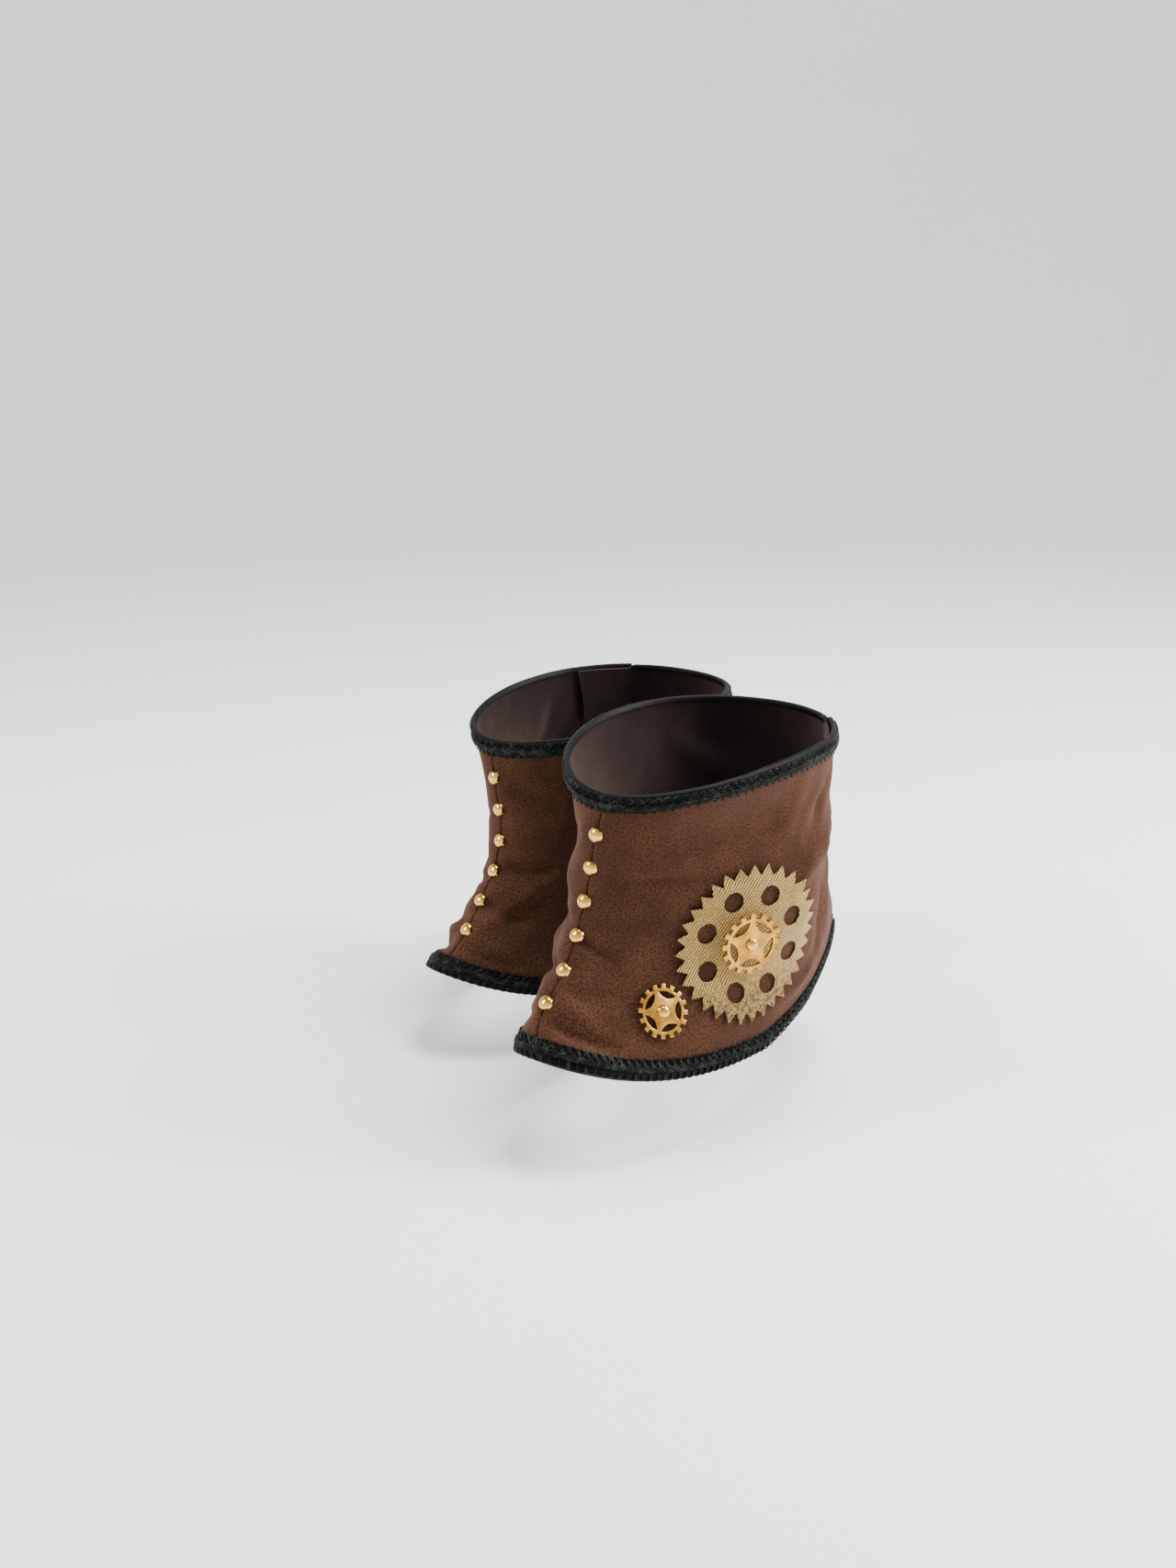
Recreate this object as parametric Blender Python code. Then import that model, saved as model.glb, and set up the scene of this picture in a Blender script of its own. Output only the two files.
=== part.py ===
"""A pair of costume spats: suede-cloth gaiters that lap at the outer back, with a row of
studs down the front seam, black gimp braid round both edges and a group of gears outside.

Each spat is shaped in its own foot frame, in millimetres: x forward from the back of the
boot heel, y out towards the outer side of the foot, z up from the ground under the boot.
The right spat is the left one mirrored, set beside it and a little behind.
"""
import math

import bmesh
import bpy
from mathutils import Vector

MM = 0.001

# How the pair stands: the world origin is the middle of the left ankle.
ANKLE_X = 80.0                      # the ankle's middle in the foot frame
ANKLE_Z = 115.0
TOE_OUT = math.radians(3.1)         # each foot turns out by this much
RIGHT_ANKLE = (-108.5, 57.0, -9.5)  # from the left ankle; this spat has slipped down a little

# Cloth and trim.
CLOTH = 1.6                         # thickness of a panel
SEAM_GAP = 0.3                      # between pieces that are sewn together
LAP_GAP = 0.5                       # under the outer panel, where it laps
BRAID_WIDE = 9.5
BRAID_THICK = 1.9
BRAID_LIFT = 0.45                   # under the braid, over the cloth's curve
BRAID_END_GAP = 0.8                 # from the braid's tucked end to the outer panel's edge
STUD_RADIUS = 3.6
STUD_TALL = 2.7
STUD_GAP = 0.6                      # under a stud's flat base, over the seam's curve
STUD_HEIGHTS = (0.83, 0.685, 0.545, 0.415, 0.29, 0.18)   # shares of the front seam, top down

# Level sections of the cloth's outer face, from the hem up to the top edge:
# share of the height, front x, back x, half width, y of the middle, y of the front ridge,
# and taper, the share by which the front is narrower and the back wider.
SECTIONS = (
    (0.00, 197.0, -16.0, 47.0, 1.0, -1.0, 0.03),
    (0.15, 185.0, -6.0, 45.0, 3.0, -6.0, 0.20),
    (0.30, 170.5, 3.0, 44.5, 0.5, -5.0, 0.34),
    (0.45, 161.0, 6.0, 44.5, 1.3, -5.0, 0.28),
    (0.60, 156.0, 7.0, 45.5, 2.2, -4.0, 0.19),
    (0.80, 156.0, 2.5, 47.0, 0.0, 0.0, 0.23),
    (1.00, 154.0, 5.0, 56.5, -1.5, 5.0, 0.06),
)
# The boot's ankle fills the outer side out: by how much, where, and how far from there it
# fades towards the front, towards the back, and up and down.
ANKLE_BULGE = 9.5
BULGE_TURN, BULGE_SHARE = math.radians(97.0), 0.50
BULGE_FORWARD, BULGE_BACKWARD, BULGE_TALL = math.radians(26.0), math.radians(20.0), 0.31
# Heights of the two edges. The hem dips between the front and the back by a power of how
# far round the point lies.
HEM_FRONT, HEM_SIDE, HEM_BACK = 52.5, 33.0, 74.5
HEM_FRONT_POWER, HEM_BACK_POWER = 2.8, 1.25
TOP_FRONT, TOP_SIDE, TOP_BACK = 163.5, 173.5, 175.0

# The back closure: the outer panel stops here and laps over the inner panel.
LAP_EDGE = math.radians(143.0)
LAP_UNDER = math.radians(116.0)     # where the inner panel stops underneath
LAP_RISE_FROM = math.radians(92.0)  # where the outer panel starts to lift over it

# Gears. The big one is cut from mesh cloth and follows the panel; its middle is at this
# place on the outer side, and the others are placed from it: forward and up.
BIG_GEAR_X, BIG_GEAR_Z = 100.0, 87.9
BIG_GEAR_RADIUS, BIG_GEAR_ROOT, BIG_GEAR_TEETH = 38.0, 32.9, 32
BIG_GEAR_HOLES, BIG_GEAR_HOLE_RING, BIG_GEAR_HOLE_RADIUS = 8, 23.8, 4.9
BIG_GEAR_HOLE_TURN = math.radians(20.0)
BIG_GEAR_HOLE_SIDES, BIG_GEAR_FACET = 10, 14.0
BIG_GEAR_BETWEEN = math.radians(45.0), math.radians(130.0)   # turns its middle lies between
BIG_GEAR_THICK = 1.0
BIG_GEAR_LIFT = 1.05                # over the suede, so its facets clear the curve
HUB_GEAR_AT = (1.5, 1.5)
HUB_GEAR_RADIUS, HUB_GEAR_THICK = 14.8, 1.5
SMALL_GEAR_AT = (47.5, -23.5)
SMALL_GEAR_RADIUS, SMALL_GEAR_THICK = 12.3, 1.5
COG_TEETH = 16
COG_ROOT = 0.84                     # share of the radius; a tooth's halves are in pitches
TOOTH_FOOT, TOOTH_TIP = 0.27, 0.22
COG_OPENINGS = 5
OPENING_FAR, OPENING_NEAR, OPENING_HALF = 0.66, 0.36, 0.44   # shares of the radius; radians
OPENING_SHOULDER = 0.36, 0.62       # radians from its middle; share of the way out
COG_LIFT = 0.6                      # over the highest cloth under a cog, clear of its facets
GEAR_STUD_RADIUS = 3.1
GEAR_STUD_TALL = 2.4

# Facets, and the small step in turn or share that finds a direction on the cloth.
OUTER_COLUMNS, INNER_COLUMNS, LAP_COLUMNS, PANEL_ROWS = 20, 26, 4, 7
DOME_SIDES = 12
DOME_ANGLES = (35.0, 65.0)
DOME_RIM = 0.2                      # the straight rim's share of a stud's height
PROBE = 0.002

SUEDE = ("suede", (0.105, 0.045, 0.026), 0.95, 0.0)
BRAID = ("gimp_braid", (0.012, 0.013, 0.012), 0.8, 0.0)
STUD_METAL = ("stud_gold", (0.72, 0.50, 0.18), 0.18, 1.0)
MESH_CLOTH = ("gold_mesh_cloth", (0.52, 0.40, 0.19), 0.45, 0.6)
COG_METAL = ("cog_brass", (0.78, 0.52, 0.20), 0.38, 1.0)


# The cloth's surface.

def section_at(share):
    """One level section, eased between the table's rows by a cubic through them."""
    rows = SECTIONS
    i = max(k for k in range(len(rows) - 1) if rows[k][0] <= share or k == 0)
    low, high = rows[i], rows[i + 1]
    before, after = rows[max(i - 1, 0)], rows[min(i + 2, len(rows) - 1)]
    span = high[0] - low[0]
    u = (share - low[0]) / span
    values = []
    for k in range(1, len(low)):
        leave = (high[k] - before[k]) / (high[0] - before[0]) * span
        arrive = (after[k] - low[k]) / (after[0] - low[0]) * span
        values.append((2 * u ** 3 - 3 * u ** 2 + 1) * low[k] + (u ** 3 - 2 * u ** 2 + u) * leave
                      + (3 * u ** 2 - 2 * u ** 3) * high[k] + (u ** 3 - u ** 2) * arrive)
    return values


def hem_height(turn):
    c = math.cos(turn)
    if c > 0:
        return HEM_SIDE + (HEM_FRONT - HEM_SIDE) * c ** HEM_FRONT_POWER
    return HEM_SIDE + (HEM_BACK - HEM_SIDE) * (-c) ** HEM_BACK_POWER


def top_height(turn):
    c = math.cos(turn)
    ends = (TOP_FRONT + TOP_BACK) / 2 + (TOP_FRONT - TOP_BACK) / 2 * c
    return ends + (TOP_SIDE - (TOP_FRONT + TOP_BACK) / 2) * math.sin(turn) ** 2


def ankle_bulge(turn, share):
    away = turn - BULGE_TURN
    if away < -math.pi:
        away += 2 * math.pi
    wide = BULGE_FORWARD if away < 0 else BULGE_BACKWARD
    fade = math.exp(-(away / wide) ** 2 - ((share - BULGE_SHARE) / BULGE_TALL) ** 2)
    return ANKLE_BULGE * fade


def cloth_point(turn, share):
    """The cloth's outer face: turn is 0 at the front seam and grows round the outer side,
    share is 0 at the hem and 1 at the top edge."""
    front, back, half, middle, ridge, taper = section_at(share)
    c, s = math.cos(turn), math.sin(turn)
    x = (front + back) / 2 + (front - back) / 2 * c
    y = middle + half * s * (1 - taper * c) + (ridge - middle) * ((1 + c) / 2) ** 3
    y += ankle_bulge(turn, share)
    hem, top = hem_height(turn), top_height(turn)
    return Vector((x, y, hem + (top - hem) * share))


def cloth_normal(turn, share):
    low, high = max(share - PROBE, 0.0), min(share + PROBE, 1.0)
    around = cloth_point(turn + PROBE, share) - cloth_point(turn - PROBE, share)
    upward = cloth_point(turn, high) - cloth_point(turn, low)
    return upward.cross(around).normalized() * -1


def raised(turn, share, height):
    return cloth_point(turn, share) + cloth_normal(turn, share) * height


def column_length(turn):
    steps = 12
    points = [cloth_point(turn, k / steps) for k in range(steps + 1)]
    return sum((b - a).length for a, b in zip(points, points[1:]))


def seam_turn():
    """Half the gap at the front seam, as a turn."""
    return SEAM_GAP / 2 / (SECTIONS[3][3] * (1 - SECTIONS[3][6]))


def lap_lift(turn):
    """How far the outer panel has risen over the inner one."""
    u = min(max((turn - LAP_RISE_FROM) / (LAP_UNDER - LAP_RISE_FROM), 0.0), 1.0)
    return (CLOTH + LAP_GAP) * u * u * (3 - 2 * u)


def outer_lift(turn):
    """Outer face of whatever panel shows at this turn, over the cloth's surface."""
    return lap_lift(turn) if 0 <= turn <= LAP_EDGE else 0.0


# Building in Blender.

def in_blender(point, side):
    """Foot frame to the ankle's own axes: X to the wearer's left, Y back, Z up, metres."""
    return Vector((side * point.y, ANKLE_X - point.x, point.z - ANKLE_Z)) * MM


def add_material(finish):
    name, colour, rough, metal = finish
    found = bpy.data.materials.get(name)
    if found:
        return found
    material = bpy.data.materials.new(name)
    material.use_nodes = True
    shader = material.node_tree.nodes["Principled BSDF"]
    shader.inputs["Base Color"].default_value = (*colour, 1.0)
    shader.inputs["Roughness"].default_value = rough
    shader.inputs["Metallic"].default_value = metal
    return material


def add_object(name, bm, finish, ankle, smooth_angle=40):
    bmesh.ops.recalc_face_normals(bm, faces=bm.faces)
    mesh = bpy.data.meshes.new(name)
    bm.to_mesh(mesh)
    bm.free()
    mesh.shade_smooth()
    mesh.set_sharp_from_angle(angle=math.radians(smooth_angle))
    mesh.materials.append(add_material(finish))
    obj = bpy.data.objects.new(name, mesh)
    bpy.context.scene.collection.objects.link(obj)
    obj.parent = ankle
    return obj


def strip_solid(turns, shares_at, lifts_at, side):
    """A closed strip of cloth: rows of points over a run of turns, on two faces.

    shares_at(turn) gives the heights of its rows, and lifts_at(turn) how far its inner and
    outer faces stand from the cloth's surface.
    """
    bm = bmesh.new()
    loops = []
    for turn in turns:
        shares = shares_at(turn)
        inner, outer = lifts_at(turn)
        points = [raised(turn, share, outer) for share in shares]
        points += [raised(turn, share, inner) for share in reversed(shares)]
        loops.append([bm.verts.new(in_blender(p, side)) for p in points])
    count = len(loops[0])
    for here, there in zip(loops, loops[1:]):
        for k in range(count):
            bm.faces.new((here[k], here[(k + 1) % count], there[(k + 1) % count], there[k]))
    rows = count // 2
    for loop in (loops[0], loops[-1]):
        for k in range(rows - 1):
            bm.faces.new((loop[k], loop[k + 1], loop[count - 2 - k], loop[count - 1 - k]))
    return bm


def spread(start, end, count):
    return [start + (end - start) * k / count for k in range(count + 1)]


def outer_turns():
    return spread(seam_turn(), LAP_EDGE, OUTER_COLUMNS)


def inner_turns():
    """The inner panel's columns, one of them just clear of the outer panel's edge."""
    clear = LAP_EDGE + BRAID_END_GAP / SECTIONS[3][3] - 2 * math.pi
    shown = spread(-seam_turn(), clear, INNER_COLUMNS)
    return shown + spread(clear, LAP_UNDER - 2 * math.pi, LAP_COLUMNS)[1:]


def panel_shares(turn):
    """Rows of a panel: one strip under each braid, and even rows between them."""
    wide = BRAID_WIDE / column_length(turn)
    return [0.0] + spread(wide, 1 - wide, PANEL_ROWS) + [1.0]


def outer_panel(side):
    return strip_solid(outer_turns(), panel_shares,
                       lambda turn: (lap_lift(turn) - CLOTH, lap_lift(turn)), side)


def inner_panel(side):
    return strip_solid(inner_turns(), panel_shares, lambda turn: (-CLOTH, 0.0), side)


def braid_strip(side, at_top):
    """Braid round an edge, from the lap's edge by way of the front to the lap's edge again.

    It has the panels' own columns, so that its facets lie along theirs.
    """

    def shares_at(turn):
        shares = panel_shares(turn)
        return shares[-2:] if at_top else shares[:2]

    def lifts_at(turn):
        base = outer_lift(turn) + BRAID_LIFT
        return base, base + BRAID_THICK

    turns = outer_turns()[::-1] + inner_turns()[:INNER_COLUMNS + 1]
    return strip_solid(turns, shares_at, lifts_at, side)


def dome(radius, tall, centre, normal, side):
    """A domed stud: a low straight rim with a round cap, its flat base at centre."""
    bm = bmesh.new()
    rim = tall * DOME_RIM
    profile = [(radius, 0.0), (radius, rim)]
    for angle in DOME_ANGLES:
        a = math.radians(angle)
        profile.append((radius * math.cos(a), rim + (tall - rim) * math.sin(a)))
    across = normal.orthogonal().normalized()
    other = normal.cross(across)
    rings = []
    for r, h in profile:
        ring = []
        for k in range(DOME_SIDES):
            a = 2 * math.pi * k / DOME_SIDES
            p = centre + normal * h + (across * math.cos(a) + other * math.sin(a)) * r
            ring.append(bm.verts.new(in_blender(p, side)))
        rings.append(ring)
    for low, high in zip(rings, rings[1:]):
        for k in range(DOME_SIDES):
            j = (k + 1) % DOME_SIDES
            bm.faces.new((low[k], low[j], high[j], high[k]))
    bm.faces.new(list(reversed(rings[0])))
    tip = bm.verts.new(in_blender(centre + normal * tall, side))
    for k in range(DOME_SIDES):
        bm.faces.new((rings[-1][k], rings[-1][(k + 1) % DOME_SIDES], tip))
    return bm


# Gears.

def ring_of(radius, count, phase=0.0, middle=(0.0, 0.0)):
    return [(middle[0] + radius * math.cos(phase + 2 * math.pi * k / count),
             middle[1] + radius * math.sin(phase + 2 * math.pi * k / count))
            for k in range(count)]


def pointed_teeth(tip, root, teeth):
    """Outline of a gear with pointed teeth."""
    tips = ring_of(tip, teeth)
    roots = ring_of(root, teeth, math.pi / teeth)
    return [p for pair in zip(tips, roots) for p in pair]


def square_teeth(tip, root, teeth):
    """Outline of a gear with square teeth, each as wide as its gap at the root."""
    outline = []
    pitch = 2 * math.pi / teeth
    for k in range(teeth):
        for radius, turn in ((root, -TOOTH_FOOT), (tip, -TOOTH_TIP),
                             (tip, TOOTH_TIP), (root, TOOTH_FOOT)):
            a = (k + turn) * pitch
            outline.append((radius * math.cos(a), radius * math.sin(a)))
    return outline


def cog_opening(radius, middle_angle):
    """One lens-shaped opening between two webs of a cog of this radius."""
    far, near = OPENING_FAR * radius, OPENING_NEAR * radius
    shoulder, part = OPENING_SHOULDER
    points = []
    for turn in spread(-OPENING_HALF, OPENING_HALF, 4):
        a = middle_angle + turn
        points.append((far * math.cos(a), far * math.sin(a)))
    for turn, r in ((shoulder, part), (0.0, 0.0), (-shoulder, part)):
        a = middle_angle + turn
        reach = near + (far - near) * r
        points.append((reach * math.cos(a), reach * math.sin(a)))
    return points


def flat_plate(outline, holes, longest=None):
    """A flat face inside an outline and outside its holes, in triangles."""
    bm = bmesh.new()
    for loop in [outline] + holes:
        verts = [bm.verts.new((a, b, 0.0)) for a, b in loop]
        for k in range(len(verts)):
            bm.edges.new((verts[k], verts[(k + 1) % len(verts)]))
    bmesh.ops.triangle_fill(bm, use_beauty=True, use_dissolve=False, edges=bm.edges)
    while longest:
        long_edges = [e for e in bm.edges if e.calc_length() > longest]
        if not long_edges:
            break
        bmesh.ops.subdivide_edges(bm, edges=long_edges, cuts=1)
        bmesh.ops.triangulate(bm, faces=bm.faces)
    return bm


def plate_solid(plate, low, high):
    """Thickens a flat plate: low(a, b) and high(a, b) place its two faces."""
    faces = [[v.index for v in f.verts] for f in plate.faces]
    flat = [(v.co.x, v.co.y) for v in plate.verts]
    rim = [[v.index for v in e.verts] for e in plate.edges if len(e.link_faces) == 1]
    plate.free()
    bm = bmesh.new()
    bottom = [bm.verts.new(low(a, b)) for a, b in flat]
    top = [bm.verts.new(high(a, b)) for a, b in flat]
    for face in faces:
        bm.faces.new([top[k] for k in face])
        bm.faces.new([bottom[k] for k in reversed(face)])
    for i, j in rim:
        bm.faces.new((bottom[i], bottom[j], top[j], top[i]))
    return bm


def share_at(turn, z):
    hem, top = hem_height(turn), top_height(turn)
    return min(max((z - hem) / (top - hem), 0.0), 1.0)


def wrapped(forward, up):
    """Turn and share of the point on the outer side that lies this far forward, measured
    along the cloth, and this far up from the big gear's middle."""
    z = BIG_GEAR_Z + up
    low, high = BIG_GEAR_BETWEEN
    for _ in range(30):
        turn = (low + high) / 2
        if cloth_point(turn, share_at(turn, z)).x > BIG_GEAR_X:
            low = turn
        else:
            high = turn
    steps = 24
    for _ in range(steps):
        here = cloth_point(turn, share_at(turn, z))
        there = cloth_point(turn + PROBE, share_at(turn + PROBE, z))
        turn -= forward / steps * PROBE / (there - here).length
    return turn, share_at(turn, z)


def wrapped_point(forward, up, height):
    turn, share = wrapped(forward, up)
    return raised(turn, share, height + lap_lift(turn))


def big_gear(side):
    holes = []
    for middle in ring_of(BIG_GEAR_HOLE_RING, BIG_GEAR_HOLES, BIG_GEAR_HOLE_TURN):
        holes.append(ring_of(BIG_GEAR_HOLE_RADIUS, BIG_GEAR_HOLE_SIDES, 0.0, middle))
    outline = pointed_teeth(BIG_GEAR_RADIUS, BIG_GEAR_ROOT, BIG_GEAR_TEETH)
    plate = flat_plate(outline, holes, longest=BIG_GEAR_FACET)
    plate.verts.index_update()
    return plate_solid(
        plate,
        lambda a, b: in_blender(wrapped_point(a, b, BIG_GEAR_LIFT), side),
        lambda a, b: in_blender(wrapped_point(a, b, BIG_GEAR_LIFT + BIG_GEAR_THICK), side))


def cog_seat(place, radius, lift):
    """Middle, outward normal, forward and up directions of a stiff cog that stands this
    far off the highest cloth under it."""
    turn, share = wrapped(*place)
    normal = cloth_normal(turn, share)
    flat = wrapped_point(*place, 0.0)
    under = ring_of(radius, 16, 0.0, place) + ring_of(radius / 2, 8, 0.0, place)
    rise = max((wrapped_point(a, b, 0.0) - flat).dot(normal) for a, b in under)
    forward = Vector((1.0, 0.0, 0.0))
    forward = (forward - normal * forward.dot(normal)).normalized()
    upward = normal.cross(forward)
    if upward.z < 0:
        upward = -upward
    return flat + normal * (max(rise, 0.0) + lift), normal, forward, upward


def cog(radius, thick, seat, side):
    middle, normal, forward, upward = seat
    pitch = 2 * math.pi / COG_OPENINGS
    holes = [cog_opening(radius, math.pi / 2 + k * pitch) for k in range(COG_OPENINGS)]
    plate = flat_plate(square_teeth(radius, radius * COG_ROOT, COG_TEETH), holes)
    plate.verts.index_update()

    def place(height):
        return lambda a, b: in_blender(middle + forward * a + upward * b + normal * height, side)

    return plate_solid(plate, place(0.0), place(thick))


# The two spats.

def build_spat(name, side, place, turned):
    ankle = bpy.data.objects.new(f"{name}_ankle", None)
    ankle.location = Vector(place) * MM
    ankle.rotation_euler = (0.0, 0.0, turned)
    bpy.context.scene.collection.objects.link(ankle)

    add_object(f"{name}_outer_panel", outer_panel(side), SUEDE, ankle)
    add_object(f"{name}_inner_panel", inner_panel(side), SUEDE, ankle)
    add_object(f"{name}_top_braid", braid_strip(side, True), BRAID, ankle)
    add_object(f"{name}_hem_braid", braid_strip(side, False), BRAID, ankle)

    for number, share in enumerate(STUD_HEIGHTS, start=1):
        seat = raised(0.0, share, STUD_GAP)
        stud = dome(STUD_RADIUS, STUD_TALL, seat, cloth_normal(0.0, share), side)
        add_object(f"{name}_stud_{number}", stud, STUD_METAL, ankle)

    add_object(f"{name}_fabric_gear", big_gear(side), MESH_CLOTH, ankle)
    hub_lift = BIG_GEAR_LIFT + BIG_GEAR_THICK + COG_LIFT
    cogs = (
        ("hub_gear", HUB_GEAR_AT, hub_lift, HUB_GEAR_RADIUS, HUB_GEAR_THICK),
        ("small_gear", SMALL_GEAR_AT, COG_LIFT, SMALL_GEAR_RADIUS, SMALL_GEAR_THICK),
    )
    for part, at, lift, radius, thick in cogs:
        seat = cog_seat(at, radius, lift)
        add_object(f"{name}_{part}", cog(radius, thick, seat, side), COG_METAL, ankle)
        middle, normal = seat[0], seat[1]
        stud_seat = middle + normal * (thick + SEAM_GAP)
        stud = dome(GEAR_STUD_RADIUS, GEAR_STUD_TALL, stud_seat, normal, side)
        add_object(f"{name}_{part}_stud", stud, STUD_METAL, ankle)


for old in list(bpy.data.objects):
    bpy.data.objects.remove(old, do_unlink=True)

build_spat("left", 1, (0.0, 0.0, 0.0), TOE_OUT)
build_spat("right", -1, RIGHT_ANKLE, -TOE_OUT)
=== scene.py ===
import bisect
import functools
import math

import bmesh
import bpy
from mathutils import Matrix, Vector, noise


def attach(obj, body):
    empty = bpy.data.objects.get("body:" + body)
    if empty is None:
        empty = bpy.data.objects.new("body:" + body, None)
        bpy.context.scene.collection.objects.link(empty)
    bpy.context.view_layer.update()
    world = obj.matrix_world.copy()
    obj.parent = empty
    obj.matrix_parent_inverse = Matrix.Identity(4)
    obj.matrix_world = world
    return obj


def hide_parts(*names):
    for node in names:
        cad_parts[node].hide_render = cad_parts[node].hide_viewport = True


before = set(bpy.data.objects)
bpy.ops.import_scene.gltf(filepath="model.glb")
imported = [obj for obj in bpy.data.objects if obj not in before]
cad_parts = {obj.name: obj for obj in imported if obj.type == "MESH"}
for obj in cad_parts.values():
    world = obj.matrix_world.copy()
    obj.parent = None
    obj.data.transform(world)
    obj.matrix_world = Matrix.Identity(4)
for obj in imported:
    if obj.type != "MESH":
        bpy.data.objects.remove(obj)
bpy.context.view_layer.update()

MM = 0.001


# Panels. Each spat is an outer and an inner panel of imitation suede, joined by a seam down
# the front. The seam's edges are rolled in, and so is the edge that laps at the outer back.

# The panels are shaped on a plain booted foot and worked in millimetres: x is forward from
# the back of the heel, y towards the outer side, z up from the ground. A place on the cloth
# is a turn round the leg from the front seam, positive round the outer side, and a share of
# the height from the hem to the top edge.

ANKLE_X, ANKLE_Z = 80.0, 115.0
TOE_OUT = math.radians(3.1)
RIGHT_ANKLE = Vector((-108.5, 57.0, -9.5))
SIDES = {"left": 1, "right": -1}
# Level sections: share of the height, front and back (x), half width, middle and ridge (y),
# and how much the half width tapers towards the front.
SECTIONS = (
    (0.00, 197.0, -16.0, 47.0, 1.0, -1.0, 0.03),
    (0.15, 185.0, -6.0, 45.0, 3.0, -6.0, 0.20),
    (0.30, 170.5, 3.0, 44.5, 0.5, -5.0, 0.34),
    (0.45, 161.0, 6.0, 44.5, 1.3, -5.0, 0.28),
    (0.60, 156.0, 7.0, 45.5, 2.2, -4.0, 0.19),
    (0.80, 156.0, 2.5, 47.0, 0.0, 0.0, 0.23),
    (1.00, 154.0, 5.0, 56.5, -1.5, 5.0, 0.06),
)
ANKLE_BULGE = 9.5
BULGE_TURN, BULGE_SHARE = math.radians(97.0), 0.50
BULGE_FORWARD, BULGE_BACKWARD, BULGE_TALL = math.radians(26.0), math.radians(20.0), 0.31
HEM_FRONT, HEM_SIDE, HEM_BACK = 52.5, 33.0, 74.5
HEM_FRONT_POWER, HEM_BACK_POWER = 2.8, 1.25
TOP_FRONT, TOP_SIDE, TOP_BACK = 163.5, 173.5, 175.0
NORMAL_STEP = 0.002             # how far apart the places are that give a slope
LAP_EDGE = math.radians(143.0)
LAP_UNDER = math.radians(116.0)
LAP_RISE_FROM = math.radians(92.0)
CLOTH = 1.6
SEAM_GAP = 0.3
LAP_GAP = 0.5
SINK, SINK_OVER = 0.9, 0.12     # how far the inner panel sinks under the lap, over what turn


@functools.lru_cache(maxsize=None)
def section_at(share):
    """One level section, eased between the rows of the table by a cubic through them."""
    rows = SECTIONS
    i = max(k for k in range(len(rows) - 1) if rows[k][0] <= share or k == 0)
    low, high = rows[i], rows[i + 1]
    before, after = rows[max(i - 1, 0)], rows[min(i + 2, len(rows) - 1)]
    span = high[0] - low[0]
    u = (share - low[0]) / span
    values = []
    for k in range(1, len(low)):
        leave = (high[k] - before[k]) / (high[0] - before[0]) * span
        arrive = (after[k] - low[k]) / (after[0] - low[0]) * span
        values.append((2 * u ** 3 - 3 * u ** 2 + 1) * low[k] + (u ** 3 - 2 * u ** 2 + u) * leave
                      + (3 * u ** 2 - 2 * u ** 3) * high[k] + (u ** 3 - u ** 2) * arrive)
    return values


def edge_heights(turn):
    """Height of the hem and of the top edge at this turn."""
    c = math.cos(turn)
    if c > 0:
        hem = HEM_SIDE + (HEM_FRONT - HEM_SIDE) * c ** HEM_FRONT_POWER
    else:
        hem = HEM_SIDE + (HEM_BACK - HEM_SIDE) * (-c) ** HEM_BACK_POWER
    middle = (TOP_FRONT + TOP_BACK) / 2
    top = middle + (TOP_FRONT - TOP_BACK) / 2 * c + (TOP_SIDE - middle) * math.sin(turn) ** 2
    return hem, top


def ankle_bulge(turn, share):
    """How far the boot's ankle fills the outer side out."""
    away = turn - BULGE_TURN
    if away < -math.pi:
        away += 2 * math.pi
    wide = BULGE_FORWARD if away < 0 else BULGE_BACKWARD
    fade = math.exp(-(away / wide) ** 2 - ((share - BULGE_SHARE) / BULGE_TALL) ** 2)
    return ANKLE_BULGE * fade


def form_point(turn, share):
    front, back, half, middle, ridge, taper = section_at(share)
    c, s = math.cos(turn), math.sin(turn)
    x = (front + back) / 2 + (front - back) / 2 * c
    y = middle + half * s * (1 - taper * c) + (ridge - middle) * ((1 + c) / 2) ** 3
    y += ankle_bulge(turn, share)
    hem, top = edge_heights(turn)
    return Vector((x, y, hem + (top - hem) * share))


@functools.lru_cache(maxsize=None)
def form_at(turn, share):
    """A point on the form, and the direction straight out from it."""
    step = NORMAL_STEP
    above, below = min(share + step, 1.0), max(share - step, 0.0)
    around = form_point(turn + step, share) - form_point(turn - step, share)
    upward = form_point(turn, above) - form_point(turn, below)
    return form_point(turn, share), around.cross(upward).normalized()


# Lengths round the cloth at mid-height and up each column, one entry for each degree.
FIRST_DEGREE, LAST_DEGREE = -255, 155
COLUMN_PARTS = 12
MID_RING = [form_point(math.radians(d), 0.5) for d in range(FIRST_DEGREE, LAST_DEGREE + 1)]
ROUND = [0.0]
for here, there in zip(MID_RING, MID_RING[1:]):
    ROUND.append(ROUND[-1] + (there - here).length)
ROUND = [length - ROUND[-FIRST_DEGREE] for length in ROUND]
TALL = []
for degree in range(FIRST_DEGREE, LAST_DEGREE + 1):
    column = [form_point(math.radians(degree), k / COLUMN_PARTS)
              for k in range(COLUMN_PARTS + 1)]
    TALL.append(sum((b - a).length for a, b in zip(column, column[1:])))


def read_table(table, turn):
    place = min(max(math.degrees(turn) - FIRST_DEGREE, 0.0), len(table) - 1.001)
    low = int(place)
    return table[low] + (table[low + 1] - table[low]) * (place - low)


def flat(turn, share):
    """Where a place on the cloth lies when the panel is laid flat: across and up, in mm."""
    return read_table(ROUND, turn), share * read_table(TALL, turn)


def smooth(low, high, value):
    u = min(max((value - low) / (high - low), 0.0), 1.0)
    return u * u * (3 - 2 * u)


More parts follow.
